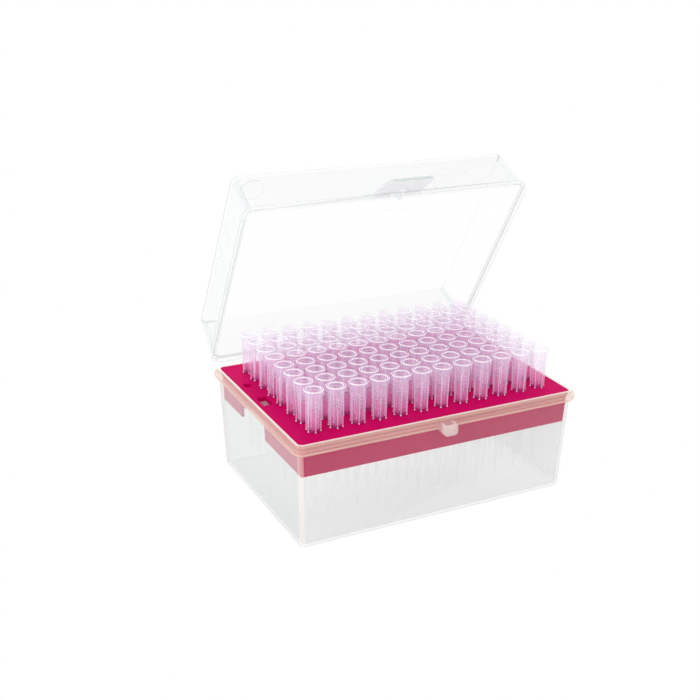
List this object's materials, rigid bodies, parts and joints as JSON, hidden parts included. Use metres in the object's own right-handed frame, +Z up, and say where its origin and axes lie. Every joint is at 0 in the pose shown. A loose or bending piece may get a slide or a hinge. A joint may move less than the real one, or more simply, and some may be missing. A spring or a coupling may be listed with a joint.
{
  "type": "box of pipette tips",
  "caption": "Hinged clear plastic box with a lift-up lid, holding ribbed pipette tips upright in a coloured rack.",
  "frame": {"origin": "middle of the tub's underside", "axes": "+Z up; +X along the rack's columns, from column 1 to column 12; the hinge is at +Y and the catch at -Y"},
  "size_m": [0.1238, 0.1092, 0.1287],
  "materials": {
    "clear_plastic": "clear moulded polystyrene, glossy",
    "frosted_plastic": "translucent moulded polypropylene, satin",
    "magenta_plastic": "opaque moulded polypropylene, satin",
    "tip_plastic": "natural polypropylene, clear to milky"
  },
  "bodies": {
    "box": {"tub": "frosted_plastic", "tip_rack": "magenta_plastic", "tips_a_to_d_01": "tip_plastic", "tips_e_to_h_01": "tip_plastic", "tips_a_to_d_02": "tip_plastic", "tips_e_to_h_02": "tip_plastic", "tips_a_to_d_03": "tip_plastic", "tips_e_to_h_03": "tip_plastic", "tips_a_to_d_04": "tip_plastic", "tips_e_to_h_04": "tip_plastic", "tips_a_to_d_05": "tip_plastic", "tips_e_to_h_05": "tip_plastic", "tips_a_to_d_06": "tip_plastic", "tips_e_to_h_06": "tip_plastic", "tips_a_to_d_07": "tip_plastic", "tips_e_to_h_07": "tip_plastic", "tips_a_to_d_08": "tip_plastic", "tips_e_to_h_08": "tip_plastic", "tips_a_to_d_09": "tip_plastic", "tips_e_to_h_09": "tip_plastic", "tips_a_to_d_10": "tip_plastic", "tips_e_to_h_10": "tip_plastic", "tips_a_to_d_11": "tip_plastic", "tips_e_to_h_11": "tip_plastic", "tips_a_to_d_12": "tip_plastic", "tips_e_to_h_12": "tip_plastic"},
    "lid": {"lid": "clear_plastic"}
  },
  "joints": [
    {"name": "lid_hinge", "type": "hinge", "parent": "box", "child": "lid", "pos_m": [0, 0.0454, 0.0424], "axis": [-1, 0, 0], "range_deg": [-59.5, 45.5]}
  ]
}
